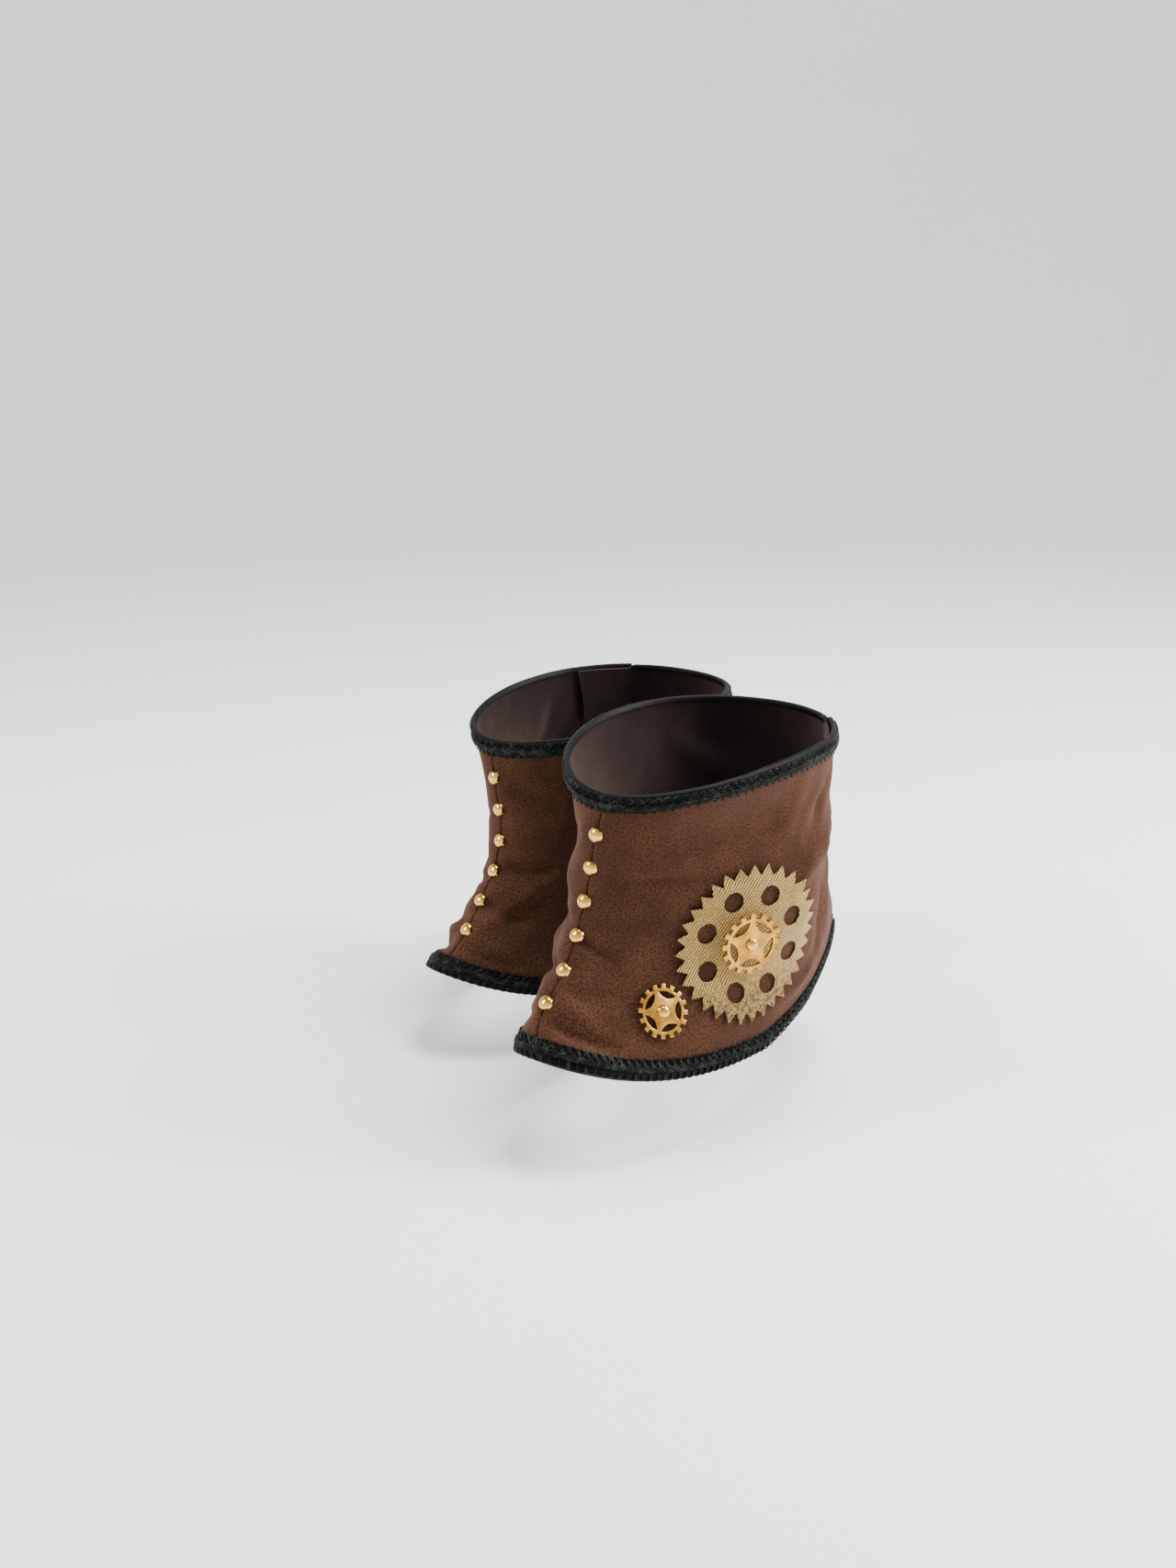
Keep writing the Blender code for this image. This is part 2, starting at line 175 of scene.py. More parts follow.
def lap_lift(turn):
    """How far the outer panel has risen to lap over the inner one, or the inner one sunk."""
    if turn >= 0:
        return (CLOTH + LAP_GAP) * smooth(LAP_RISE_FROM, LAP_UNDER, turn)
    return -SINK * smooth(LAP_EDGE, LAP_EDGE - SINK_OVER, turn + 2 * math.pi)


# Creases that the foot and the ankle pull into the cloth: (degrees, share) along each one,
# its half width in mm, and its rise in mm, or its fall below 0.
OUTER_CREASES = (
    (((16, 0.645), (44, 0.655), (74, 0.63)), 3.4, -1.3),
    (((26, 0.72), (55, 0.73), (86, 0.70)), 8.0, 0.7),
    (((-2, 0.415), (13, 0.39), (32, 0.35)), 3.2, -1.8),
    (((0, 0.42), (20, 0.46), (44, 0.53)), 6.0, -0.7),
    (((2, 0.30), (18, 0.27), (34, 0.27)), 6.0, 0.8),
    (((4, 0.135), (20, 0.105), (40, 0.085)), 3.4, -2.2),
    (((6, 0.205), (17, 0.18), (30, 0.16)), 4.2, 1.9),
    (((24, 0.245), (44, 0.23), (62, 0.235)), 3.6, -1.3),
    (((143, 0.60), (122, 0.63), (100, 0.60), (90, 0.53)), 8.0, 1.9),
    (((132, 0.88), (112, 0.77), (97, 0.67)), 7.0, -1.5),
    (((100, 0.93), (92, 0.80), (86, 0.72)), 8.0, 0.8),
    (((118, 0.50), (120, 0.32), (112, 0.13)), 5.5, -1.2),
    (((132, 0.50), (130, 0.32), (124, 0.15)), 5.0, 1.0),
    (((92, 0.13), (106, 0.14), (120, 0.18)), 5.0, 0.9),
)
INNER_CREASES = (
    (((2, 0.425), (-16, 0.435), (-44, 0.455)), 3.8, -1.8),
    (((-2, 0.33), (-20, 0.34), (-40, 0.38)), 5.5, 0.9),
    (((-3, 0.29), (-18, 0.265), (-40, 0.25)), 3.6, -1.6),
    (((-5, 0.17), (-22, 0.26), (-36, 0.37), (-50, 0.44)), 4.8, 1.6),
    (((-12, 0.80), (-26, 0.755), (-44, 0.72)), 7.5, -1.3),
    (((-6, 0.62), (-24, 0.60), (-50, 0.615)), 8.0, 0.9),
    (((-4, 0.13), (-22, 0.10), (-42, 0.09)), 3.6, -1.4),
    (((-52, 0.62), (-84, 0.565), (-116, 0.59)), 6.0, -1.2),
    (((-58, 0.31), (-92, 0.25), (-122, 0.27)), 6.0, 1.2),
    (((-70, 0.19), (-96, 0.15), (-118, 0.18)), 4.5, -1.0),
    (((-118, 0.84), (-134, 0.70), (-152, 0.63)), 7.0, -1.4),
    (((-126, 0.52), (-122, 0.32), (-114, 0.14)), 5.5, 1.1),
    (((-150, 0.58), (-147, 0.36), (-143, 0.18)), 5.5, -1.2),
    (((-168, 0.60), (-186, 0.57), (-206, 0.62)), 6.5, 1.3),
    (((-170, 0.36), (-190, 0.33), (-208, 0.30)), 5.0, -1.1),
)
CREASE_DEPTH = 1.55              # how deep the creases lie, beside the heights above
CREASE_REACH = 2.6               # half widths, past which a crease has died out
CREASE_WANDER = 0.35
CREASE_VALLEY = 0.55             # how far the cloth beside a crease goes the other way
# The stiff gears hold the cloth flat: degrees, share and mm of reach.
HELD_FLAT = ((77.6, 0.404, 15.0), (52.8, 0.204, 16.5))
# Slack over the whole cloth: rise, spacing across and spacing up in mm.
SLACK, SMALL_SLACK = (0.55, 31.0, 24.0), (0.22, 11.0, 9.0)
DIMPLE, DIMPLE_AREA = 0.6, 30.0   # how far a stud pulls the cloth in, and the mm2 it moves
STUD_HEIGHTS = (0.83, 0.685, 0.545, 0.415, 0.29, 0.18)


def laid_out(creases, turned_by, raised_by):
    """The creases as lines on the flat cloth, each with its length and its bounds."""
    lines = []
    for places, width, rise in creases:
        points = [flat(math.radians(d + turned_by), share + raised_by) for d, share in places]
        ends = [0.0]
        for (a, b), (c, d) in zip(points, points[1:]):
            ends.append(ends[-1] + math.hypot(c - a, d - b))
        reach = CREASE_REACH * width
        low = (min(p[0] for p in points) - reach, min(p[1] for p in points) - reach)
        high = (max(p[0] for p in points) + reach, max(p[1] for p in points) + reach)
        lines.append((points, ends, width, rise, low, high))
    return lines


# The left spat's inner side and the right one's outer side have their fellow's creases, a
# little moved.
CREASES = {
    1: laid_out(OUTER_CREASES, 0, 0.0) + laid_out(INNER_CREASES, -3, 0.018),
    -1: laid_out(OUTER_CREASES, 4, -0.016) + laid_out(INNER_CREASES, 0, 0.0),
}
STUD_PLACES = [flat(0.0, share) for share in STUD_HEIGHTS]
FLAT_PLACES = [(*flat(math.radians(d), share), reach) for d, share, reach in HELD_FLAT]


def crease_rise(a, b, lines):
    total = 0.0
    for points, ends, width, rise, low, high in lines:
        if not (low[0] < a < high[0] and low[1] < b < high[1]):
            continue
        nearest, far_along = 1e9, 0.0
        for k in range(len(points) - 1):
            (ax, ay), (bx, by) = points[k], points[k + 1]
            dx, dy = bx - ax, by - ay
            u = ((a - ax) * dx + (b - ay) * dy) / (dx * dx + dy * dy)
            u = min(max(u, 0.0), 1.0)
            away = math.hypot(a - ax - dx * u, b - ay - dy * u)
            if away < nearest:
                nearest = away
                far_along = (ends[k] + (ends[k + 1] - ends[k]) * u) / ends[-1]
        d = (nearest / width) ** 2
        wander = 1 + CREASE_WANDER * noise.noise(Vector((a * 0.09, b * 0.09, 4.0)))
        across = (1 - CREASE_VALLEY * d) * math.exp(-d)
        fade = across * math.sin(math.pi * far_along) ** 0.6
        total += CREASE_DEPTH * rise * wander * fade
    return total


def cloth_rise(turn, share, side):
    """How far the worn cloth stands out from the form: creases, slack, lap and dimples."""
    a, b = flat(turn, share)
    total = crease_rise(a, b, CREASES[side])
    for (rise, wide, tall), layer in ((SLACK, 3.0 * side), (SMALL_SLACK, 9.0 + side)):
        total += rise * noise.noise(Vector((a / wide, b / tall, layer)))
    for flat_a, flat_b, reach in FLAT_PLACES:
        total *= 1 - math.exp(-(math.hypot(a - flat_a, b - flat_b) / reach) ** 4)
    total += lap_lift(turn)
    for stud_a, stud_b in STUD_PLACES:
        d = ((a - stud_a) ** 2 + (b - stud_b) ** 2) / DIMPLE_AREA
        if d < 6:
            total -= DIMPLE * math.exp(-d)
    return total


def worn(turn, share, height, side):
    """A point this far over the worn cloth, in the foot's millimetres."""
    point, out = form_at(turn, share)
    return point + out * (cloth_rise(turn, share, side) + height)


def in_place(side):
    """From the foot's millimetres to the pair's metres, for the left spat or the right."""
    ankle = Matrix.Translation((RIGHT_ANKLE if side < 0 else Vector()) * MM)
    turned = Matrix.Rotation(side * TOE_OUT, 4, "Z")
    axes = Matrix(((0, side, 0, 0), (-1, 0, 0, ANKLE_X), (0, 0, 1, -ANKLE_Z), (0, 0, 0, 1)))
    return ankle @ turned @ Matrix.Diagonal((MM, MM, MM, 1)) @ axes


class Value:
    """A shader output that can be used in sums and products."""

    def __init__(self, finish, output):
        self.finish = finish
        self.output = output

    def joined(self, operation, first, second):
        return self.finish.node("ShaderNodeMath", {"operation": operation}, {0: first, 1: second})

    def __add__(self, other):
        return self.joined("ADD", self, other)

    __radd__ = __add__

    def __sub__(self, other):
        return self.joined("SUBTRACT", self, other)

    def __rsub__(self, other):
        return self.joined("SUBTRACT", other, self)

    def __mul__(self, other):
        return self.joined("MULTIPLY", self, other)

    __rmul__ = __mul__


class Finish:
    """A material: its constants are set on the shader, and node() adds the rest."""

    def __init__(self, name, **constants):
        self.material = bpy.data.materials.new(name)
        self.material.use_nodes = True
        self.shader = self.material.node_tree.nodes["Principled BSDF"]
        for socket, value in constants.items():
            self.feed(self.shader.inputs[socket.replace("_", " ")], value)

    def feed(self, socket, value):
        if isinstance(value, Value):
            self.material.node_tree.links.new(value.output, socket)
        else:
            socket.default_value = value

    def node(self, kind, settings=None, sockets=None, output=0):
        made = self.material.node_tree.nodes.new(kind)
        for name, value in (settings or {}).items():
            setattr(made, name, value)
        for name, value in (sockets or {}).items():
            self.feed(made.inputs[name], value)
        return Value(self, made.outputs[output])

    def noise(self, where, scale, detail=2.0, roughness=0.5):
        return self.node("ShaderNodeTexNoise", {}, {"Vector": where, "Scale": scale,
                                                    "Detail": detail, "Roughness": roughness})

    def between(self, low, high, value, to_low=0.0, to_high=1.0):
        return self.node("ShaderNodeMapRange", {"interpolation_type": "SMOOTHSTEP"},
                         {0: value, 1: low, 2: high, 3: to_low, 4: to_high})

    def mixed(self, factor, first, second, blend="MIX"):
        return self.node("ShaderNodeMix", {"data_type": "RGBA", "blend_type": blend},
                         {0: factor, 6: first, 7: second}, output=2)

    def bump(self, height, strength, distance):
        normal = self.node("ShaderNodeBump", {}, {"Strength": strength, "Distance": distance,
                                                  "Height": height})
        self.feed(self.shader.inputs["Normal"], normal)

    def drive(self, socket, value):
        self.feed(self.shader.inputs[socket], value)


def suede_finish():
    suede = Finish("brown_suede", Roughness=1.0, Sheen_Weight=0.19, Sheen_Roughness=0.45,
                   Sheen_Tint=(0.95, 0.62, 0.52, 1.0), Specular_IOR_Level=0.03)
    cut = suede.node("ShaderNodeUVMap", {"uv_map": "cut"})
    nap = suede.noise(cut, 950.0, 3.0, 0.65)
    fibre = suede.noise(cut, 2600.0, 2.0, 0.6)
    brushed = suede.noise(cut, 70.0, 3.0, 0.55)
    worn_in = suede.noise(cut, 17.0, 2.0, 0.5)
    grain = suede.between(0.36, 0.66, nap * 0.65 + fibre * 0.35)
    ground = suede.mixed(grain, (0.019, 0.0082, 0.0046, 1), (0.092, 0.040, 0.021, 1))
    patches = suede.between(0.30, 0.70, brushed * 0.6 + worn_in * 0.4, 0.0, 0.55)
    brown = suede.mixed(patches, ground, (0.021, 0.0090, 0.0052, 1))
    inside = suede.node("ShaderNodeAttribute", {"attribute_name": "inside"}, {}, output=2)
    backing = suede.mixed(grain, (0.0045, 0.0034, 0.0033, 1), (0.010, 0.0073, 0.0070, 1))
    suede.drive("Base Color", suede.mixed(inside, brown, backing))
    suede.bump(nap * 0.8 + fibre * 0.4 + brushed * 0.6, 0.42, 0.0007)
    return suede.material


def flat_sheet(columns, rows):
    """A sheet in a unit square, in two layers: its face at z 0 and its back at z -1."""
    bm = bmesh.new()
    bmesh.ops.create_grid(bm, x_segments=columns, y_segments=rows, size=0.5)
    bmesh.ops.translate(bm, verts=bm.verts, vec=(0.5, 0.5, 0.0))
    back = bmesh.ops.extrude_face_region(bm, geom=bm.faces[:], use_keep_orig=True)
    moved = [v for v in back["geom"] if isinstance(v, bmesh.types.BMVert)]
    bmesh.ops.translate(bm, verts=moved, vec=(0.0, 0.0, -1.0))
    bmesh.ops.recalc_face_normals(bm, faces=bm.faces)
    return bm


def finished(name, bm, side, material, node, smooth_angle=60):
    """Sets a piece in its place in the pair, facing outwards, and fits it to the frame."""
    bmesh.ops.transform(bm, matrix=in_place(side), verts=bm.verts)
    bmesh.ops.recalc_face_normals(bm, faces=bm.faces)
    mesh = bpy.data.meshes.new(name)
    bm.to_mesh(mesh)
    bm.free()
    mesh.shade_smooth()
    mesh.set_sharp_from_angle(angle=math.radians(smooth_angle))
    mesh.materials.append(material)
    piece = bpy.data.objects.new(name, mesh)
    bpy.context.scene.collection.objects.link(piece)
    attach(piece, "root")
    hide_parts(node)
    return piece


ROLL = 1.1                      # radius of a rolled edge
PANEL_ROWS = 84
RIM = 0.004                     # share of the height that takes the back's colour
ROLL_STEPS = (0.0, 0.12, 0.32, 0.6, 0.95, 1.4, 2.2)
SPACING = 1.7
TRIM = 0.014                    # how much lower the inner panel is cut under the lap


def columns_over(length):
    """Distances of a panel's columns from its seam: close at both rolled ends."""
    middle = int((length - 2 * ROLL_STEPS[-1]) / SPACING)
    room = length - 2 * ROLL_STEPS[-1]
    even = [ROLL_STEPS[-1] + room * k / middle for k in range(1, middle)]
    return list(ROLL_STEPS) + even + [length - step for step in reversed(ROLL_STEPS)]


def turn_after(distance, sign):
    """The turn that lies this far round the cloth from the front seam."""
    low, high = 0.0, math.radians(-FIRST_DEGREE if sign < 0 else LAST_DEGREE)
    for _ in range(26):
        middle = (low + high) / 2
        if sign * read_table(ROUND, sign * middle) < distance:
            low = middle
        else:
            high = middle
    return sign * low


def suede_panel(name, side, sign, last_turn, node, material):
    length = sign * read_table(ROUND, last_turn) - SEAM_GAP / 2
    distances = columns_over(length)
    turns = [turn_after(SEAM_GAP / 2 + d, sign) for d in distances]
    bm = flat_sheet(len(turns) - 1, PANEL_ROWS)
    cut = bm.loops.layers.uv.new("cut")
    inside = bm.verts.layers.float.new("inside")
    for vert in bm.verts:
        column = round(vert.co.x * (len(turns) - 1))
        share = round(vert.co.y * PANEL_ROWS) / PANEL_ROWS
        on_face = vert.co.z > -0.5
        turn = turns[column]
        if column == 0 and not on_face:
            turn = 0.0          # behind the seam the two panels meet
        edge = min(distances[column], length - distances[column])
        drop = 0.0
        if edge < ROLL:
            drop = ROLL - math.sqrt(ROLL ** 2 - (ROLL - edge) ** 2)
        vert[inside] = 0.0 if on_face and RIM < share < 1 - RIM else 1.0
        if turn < LAP_EDGE - 2 * math.pi:
            share = TRIM + (1 - 2 * TRIM) * share
        a, b = flat(turn, share)
        for loop in vert.link_loops:
            loop[cut].uv = (a * MM, b * MM)
        vert.co = worn(turn, share, -drop if on_face else -CLOTH, side)
    return finished(name, bm, side, material, node)


suede = suede_finish()
for name, side in SIDES.items():
    suede_panel(f"{name}_outer_suede", side, 1, LAP_EDGE,
                                        f"{name}_outer_panel", suede)
    suede_panel(f"{name}_inner_suede", side, -1,
                                        LAP_UNDER - 2 * math.pi, f"{name}_inner_panel", suede)


# Gimp braid. A black trimming folded over both edges and sewn down: covered cords worked
# into a row of round scrolls, a plaited rib and a row of open loops, on a woven ground.

BRAID_WIDE = 9.5
BRAID_END_GAP = 0.8
LEG_HALF_WIDE = SECTIONS[3][3]
EDGE_PARTS = 720
# The ground's rows from inside the leg, over the edge and down the face: mm in from the
# edge and over the cloth for its outer surface, and the same two for its inner one.
GROUND_ROWS = (
    (2.4, -CLOTH - 0.40, 2.4, -CLOTH - 0.03),
    (0.2, -CLOTH - 0.45, 0.0, -CLOTH - 0.03),
    (-0.35, -CLOTH - 0.05, -0.04, -CLOTH),
    (-0.45, -CLOTH / 2, -0.04, -CLOTH / 2),
    (-0.35, 0.15, -0.04, 0.0),
    (0.2, 0.50, 0.1, 0.05),
    (2.2, 0.55, 2.2, 0.05),
    (4.3, 0.55, 4.3, 0.05),
    (6.4, 0.55, 6.4, 0.05),
    (8.5, 0.50, 8.5, 0.05),
)
GROUND_COLUMNS = 300
SCROLL_PITCH, SCROLL_RADIUS, SCROLL_THICK = 3.9, 1.6, 0.33
SCROLL_HEIGHT = 0.95            # cords' middles over the cloth
RIB_HALF, RIB_THICK, RIB_HEIGHT = 1.0, 0.46, 1.2
PLAIT_PITCH = 5.2


def gimp_finish():
    gimp = Finish("black_gimp", Roughness=0.5, Specular_IOR_Level=0.10)
    where = gimp.node("ShaderNodeTexCoord", {}, {}, output=3)
    thread = gimp.noise(where, 2400.0, 2.0, 0.6)
    # Lighter grey-green patches at random over the cords: partly worn threads, partly painted
    # highlight.
    wear_and_highlight = gimp.noise(where, 330.0, 2.0, 0.5)
    black = gimp.mixed(gimp.between(0.35, 0.7, thread), (0.0012, 0.0013, 0.0013, 1),
                       (0.0050, 0.0056, 0.0052, 1))
    worn_and_highlit_black = gimp.mixed(gimp.between(0.45, 0.68, wear_and_highlight, 0.0, 0.85), black,
                            (0.026, 0.030, 0.027, 1))
    # The ground between the cords is black tape, painted blacker still than the cords as painted
    # shade in the gaps between them.
    on_cord_else_shaded_gap = gimp.node("ShaderNodeAttribute", {"attribute_name": "cord"}, {}, output=2)
    gimp.drive("Base Color", gimp.mixed(on_cord_else_shaded_gap, (0.0004, 0.0004, 0.0004, 1), worn_and_highlit_black))
    gimp.bump(thread, 0.25, 0.0002)
    return gimp.material


class EdgeLine:
    """The line that a braid is sewn along: places are mm along it and mm in from the edge."""

    def __init__(self, at_top, side):
        self.at_top = at_top
        self.side = side
        gap = BRAID_END_GAP / LEG_HALF_WIDE
        start, end = LAP_EDGE, LAP_EDGE + gap - 2 * math.pi
        self.turns = [start + (end - start) * k / EDGE_PARTS for k in range(EDGE_PARTS + 1)]
        points = [form_at(t, self.share(t, BRAID_WIDE / 2))[0] for t in self.turns]
        self.lengths = [0.0]
        for here, there in zip(points, points[1:]):
            self.lengths.append(self.lengths[-1] + (there - here).length)
        self.length = self.lengths[-1]

    def share(self, turn, inward):
        part = inward / read_table(TALL, turn)
        return 1 - part if self.at_top else part

    def point(self, along, inward, height):
        along = min(max(along, 0.0), self.length - 0.001)
        k = bisect.bisect_right(self.lengths, along) - 1
        u = (along - self.lengths[k]) / (self.lengths[k + 1] - self.lengths[k])
        turn = self.turns[k] + (self.turns[k + 1] - self.turns[k]) * u
        share = self.share(turn, inward)
        beyond = 0.0
        if share > 1 or share < 0:
            beyond = (share - min(max(share, 0.0), 1.0)) * read_table(TALL, turn)
            share = min(max(share, 0.0), 1.0)
        point, out = form_at(turn, share)
        rise = cloth_rise(turn, share, self.side)
        return point + out * (rise + height) + Vector((0.0, 0.0, beyond))


def curled_scrolls(line, middle, radius, height):
    """A row of separate round scrolls, each a short cord that ends curled up inside."""
    steps, turns, curl = 13, 1.45, 0.3
    count = int((line.length - 2.0) / SCROLL_PITCH)
    start = (line.length - (count - 1) * SCROLL_PITCH) / 2
    scrolls = []
    for k in range(count):
        points = []
        for step in range(steps):
            part = step / (steps - 1)
            angle = 2 * math.pi * turns * part
            reach = radius * (0.32 + 0.68 * smooth(0.0, curl, part))
            points.append(line.point(start + SCROLL_PITCH * k + reach * math.sin(angle),
                                     middle - reach * math.cos(angle), height))
        scrolls.append(points)
    return scrolls


def scroll_cord(line, middle, radius, height):
    """One long cord thrown into open loops, one after another, along a row."""
    steps = 12
    count = int((line.length - 3.0) / SCROLL_PITCH)
    start = (line.length - count * SCROLL_PITCH) / 2
    points = []
    for k in range(count * steps + 1):
        turned = 2 * math.pi * k / steps
        along = start + SCROLL_PITCH * k / steps - radius * math.sin(turned)
        inward = middle + radius * math.cos(turned)
        points.append(line.point(along, inward, height + 0.22 * math.cos(turned)))
    return points


def plait_cord(line, middle, wide, phase, height):
    """One of the three cords of the plaited rib."""
    steps = 10
    count = int((line.length - 1.0) / PLAIT_PITCH)
    pitch = (line.length - 1.0) / count
    points = []
    for k in range(count * steps + 1):
        turned = 2 * math.pi * k / steps + phase
        along = 0.5 + pitch * k / steps
        points.append(line.point(along, middle + wide * math.sin(turned),
                                 height + 0.38 * math.sin(2 * turned)))
    return points


def cords_mesh(cords, sides_each):
    """Cords along the given points, each with its own radius, as one bmesh."""
    curve = bpy.data.curves.new("cords", "CURVE")
    curve.dimensions = "3D"
    curve.bevel_depth = 1.0
    curve.bevel_resolution = sides_each
    curve.use_fill_caps = True
    for points, radius in cords:
        spline = curve.splines.new("POLY")
        spline.points.add(len(points) - 1)
        for target, point in zip(spline.points, points):
            target.co = (*point, 1.0)
            target.radius = radius
    holder = bpy.data.objects.new("cords", curve)
    bpy.context.scene.collection.objects.link(holder)
    shape = holder.evaluated_get(bpy.context.evaluated_depsgraph_get())
    mesh = bpy.data.meshes.new_from_object(shape)
    bm = bmesh.new()
    bm.from_mesh(mesh)
    bpy.data.objects.remove(holder)
    bpy.data.curves.remove(curve)
    bpy.data.meshes.remove(mesh)
    bmesh.ops.remove_doubles(bm, verts=bm.verts, dist=0.0001)
    return bm


def gimp_braid(name, side, at_top, node, material):
    """One braid: its rows of cords lie this far in from the edge, on the folded ground."""
    line = EdgeLine(at_top, side)
    rows = len(GROUND_ROWS) - 1
    ground = flat_sheet(GROUND_COLUMNS, rows)
    for vert in ground.verts:
        row = GROUND_ROWS[round(vert.co.y * rows)]
        inward, height = row[:2] if vert.co.z > -0.5 else row[2:]
        vert.co = line.point(line.length * vert.co.x, inward, height)
    if at_top:
        scrolls, rib, loops, loop_radius, loop_thick = 2.1, 5.35, 7.9, 1.05, 0.30
    else:
        scrolls, rib, loops, loop_radius, loop_thick = 7.2, 4.1, 0.9, 1.25, 0.32
    long_cords = []
    for k in range(3):
        phase = 2 * math.pi * k / 3
        long_cords.append((plait_cord(line, rib, RIB_HALF, phase, RIB_HEIGHT), RIB_THICK))
    long_cords.append((scroll_cord(line, loops, loop_radius, SCROLL_HEIGHT), loop_thick))
    bm = cords_mesh(long_cords, 1)
    curls = curled_scrolls(line, scrolls, SCROLL_RADIUS, SCROLL_HEIGHT)
    curls = cords_mesh([(points, SCROLL_THICK) for points in curls], 0)
    # The cords are marked 1; the ground, left at 0, takes the painted shade of the gaps between
    # the cords.
    on_cord_else_shaded_gap = bm.verts.layers.float.new("cord")
    part = bpy.data.meshes.new("part")
    curls.to_mesh(part)
    curls.free()
    bm.from_mesh(part)
    for vert in bm.verts:
        vert[on_cord_else_shaded_gap] = 1.0
    ground.to_mesh(part)
    ground.free()
    bm.from_mesh(part)
    bpy.data.meshes.remove(part)
    return finished(name, bm, side, material, node)


gimp = gimp_finish()
for name, side in SIDES.items():
    for edge, at_top in (("top", True), ("hem", False)):
        gimp_braid(f"{name}_{edge}_gimp", side, at_top,
                                        f"{name}_{edge}_braid", gimp)


# Seam studs. Six polished gold domes down each front seam, pressed through both panels, so
# that the cloth dips a little round each one.

STUD_RADIUS, STUD_TALL = 3.6, 2.7
SEAM_SHANK = 1.8
STUD_STEPS = 28


def stud_finish():
    gold = Finish("polished_gold", Metallic=1.0)
    where = gold.node("ShaderNodeTexCoord", {}, {}, output=3)
    scuffs = gold.noise(where, 900.0, 3.0, 0.6)
    tone = gold.noise(where, 260.0, 1.0, 0.5)
    gold.drive("Base Color", gold.mixed(tone, (0.64, 0.35, 0.055, 1), (0.80, 0.51, 0.12, 1)))
    gold.drive("Roughness", gold.between(0.4, 0.75, scuffs, 0.08, 0.20))
    return gold.material


def domed_stud(radius, tall, shank):
    """A dome over a thin rolled rim, with the shank that holds it below."""
    profile = [(0.0, tall)]
    for k in range(1, 9):
        angle = math.pi / 2 * (1 - k / 8)
        profile.append((radius * 0.97 * math.cos(angle), 0.45 + (tall - 0.45) * math.sin(angle)))
    profile += [(radius, 0.33), (radius, 0.14), (radius * 0.95, 0.0), (radius * 0.3, -0.05)]
    profile += [(radius * 0.27, -shank), (0.0, -shank)]
    bm = bmesh.new()
    verts = [bm.verts.new((r, 0.0, h)) for r, h in profile]
    edges = [bm.edges.new(pair) for pair in zip(verts, verts[1:])]
    bmesh.ops.spin(bm, geom=verts + edges, axis=(0, 0, 1), cent=(0, 0, 0), steps=STUD_STEPS,
                   angle=2 * math.pi, use_merge=True, use_duplicate=False)
    bmesh.ops.remove_doubles(bm, verts=bm.verts, dist=0.001)
    return bm


def standing(middle, out, forward):
    """A seat: its z is the way out and its x is as near forward as that allows."""
    ahead = (forward - out * forward.dot(out)).normalized()
    across = out.cross(ahead)
    return Matrix.Translation(middle) @ Matrix((ahead, across, out)).transposed().to_4x4()


stud_gold = stud_finish()
for name, side in SIDES.items():
    for number, share in enumerate(STUD_HEIGHTS, start=1):
        point, out = form_at(0.0, share)
        middle = worn(0.0, share, 0.1, side)
        bm = domed_stud(STUD_RADIUS, STUD_TALL, SEAM_SHANK)
        bmesh.ops.transform(bm, matrix=standing(middle, out, Vector((0, 1, 0))), verts=bm.verts)
        finished(f"{name}_seam_stud_{number}", bm, side, stud_gold,
                 f"{name}_stud_{number}", smooth_angle=50)


# Mesh-cloth gear. A large gear with pointed teeth and eight round holes, cut from a stiff
# gold mesh cloth and stitched flat on the outer panel. Its rim stands a little proud.

GEAR_X, GEAR_Z = 100.0, 87.9
GEAR_RADIUS, GEAR_ROOT, GEAR_TEETH = 38.0, 32.9, 32
HOLES, HOLE_RING, HOLE_RADIUS = 8, 23.8, 4.9
HOLE_TURN = math.radians(20.0)
MESH_THICK = 0.6
LONGEST_EDGE = 3.2
REST_GAP, LEAST_GAP = 0.45, 0.3  # the gear over the cloth, at its middle and at its lowest
RIM_LIFT, RIM_LEAN, RIM_RIPPLE = 0.75, 0.55, 0.45
LEAN_TO = math.radians(60)      # where the rim stands highest


@functools.lru_cache(maxsize=None)
def beside_gear(forward, up):
    """Turn and share of the place this far forward along the cloth from the gear's middle,
    and this far up."""
    z = GEAR_Z + up

    def share_at(turn):
        hem, top = edge_heights(turn)
        return min(max((z - hem) / (top - hem), 0.0), 1.0)

    low, high = math.radians(45), math.radians(130)
    for _ in range(26):
        turn = (low + high) / 2
        if form_point(turn, share_at(turn)).x > GEAR_X:
            low = turn
        else:
            high = turn
    steps, probe = 16, 0.001
    for _ in range(steps):
        here = form_point(turn, share_at(turn))
        there = form_point(turn + probe, share_at(turn + probe))
        turn -= forward / steps * probe / (there - here).length
    return turn, share_at(turn)


def ring(radius, count, start=0.0, middle=(0.0, 0.0)):
    return [(middle[0] + radius * math.cos(start + 2 * math.pi * k / count),
             middle[1] + radius * math.sin(start + 2 * math.pi * k / count))
            for k in range(count)]


def plate(outline, holes, longest=None):
    """A flat face inside an outline and outside its holes, cut finer where asked."""
    bm = bmesh.new()
    for loop in [outline] + holes:
        verts = [bm.verts.new((a, b, 0.0)) for a, b in loop]
        for k in range(len(verts)):
            bm.edges.new((verts[k], verts[(k + 1) % len(verts)]))
    bmesh.ops.triangle_fill(bm, use_beauty=True, use_dissolve=False, edges=bm.edges)
    while longest:
        long_edges = [e for e in bm.edges if e.calc_length() > longest]
        if not long_edges:
            break
        bmesh.ops.subdivide_edges(bm, edges=long_edges, cuts=1)
        bmesh.ops.triangulate(bm, faces=bm.faces)
    return bm


